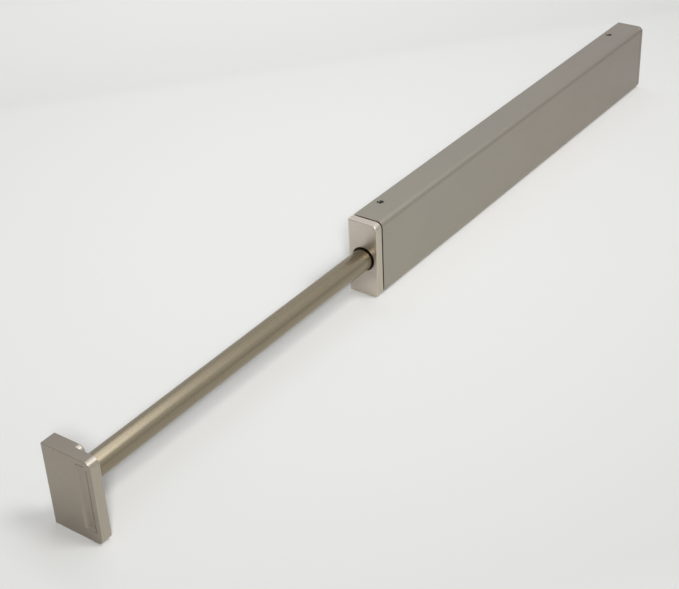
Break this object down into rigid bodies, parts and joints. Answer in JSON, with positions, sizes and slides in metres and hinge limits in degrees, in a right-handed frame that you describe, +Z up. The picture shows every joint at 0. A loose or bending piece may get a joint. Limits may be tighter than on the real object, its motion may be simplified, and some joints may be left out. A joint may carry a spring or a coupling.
{
  "type": "closet valet rod",
  "caption": "Pull-out closet valet rod: a slim side-mounted housing with a round rod that draws out of its front end and carries a flat paddle with a finger groove.",
  "frame": {"origin": "on the wall plane, at the centre of the wall screw pattern, which is the middle of the housing's length and height", "axes": "+X from the wall into the room, +Y along the rod towards the rear cap (the rod draws out towards -Y), +Z up"},
  "size_m": [0.0308, 0.5856, 0.0468],
  "materials": {
    "cover_nickel": "satin nickel, fine lengthwise grain",
    "bezel_nickel": "satin nickel plating",
    "cap_nickel": "satin nickel plating",
    "paddle_nickel": "satin nickel plating",
    "rod_nickel": "satin nickel plating, glossier than the housing",
    "zinc_steel": "zinc plating, dull",
    "screw_steel": "zinc plating",
    "plug_steel": "turned, bare",
    "set_screw_steel": "bare steel, glossy",
    "black_plastic": "fine matt texture",
    "black_rubber": "matt",
    "grey_felt": "pressed felt"
  },
  "bodies": {
    "housing": {"housing_cover": "cover_nickel", "mounting_plate": "zinc_steel", "cover_set_screws": "set_screw_steel", "front_bezel": "bezel_nickel", "front_guide": "black_plastic", "front_guide_screws": "screw_steel", "friction_sleeve": "grey_felt", "rear_cap": "cap_nickel", "rear_cap_screws": "screw_steel", "rear_bumper": "black_rubber"},
    "slide": {"rod_tube": "rod_nickel", "rod_front_plug": "plug_steel", "rod_rear_plug": "plug_steel", "paddle_plate": "paddle_nickel", "paddle_spacer": "paddle_nickel", "paddle_rod_screw": "screw_steel", "paddle_plate_screws": "screw_steel", "carriage": "black_plastic", "carriage_screw": "screw_steel", "carriage_washer": "screw_steel", "stop_pad": "black_rubber"}
  },
  "joints": [
    {"name": "rod_slide", "type": "slide", "parent": "housing", "child": "slide", "axis": [0, 1, 0], "range_m": [0, 0.23]}
  ]
}
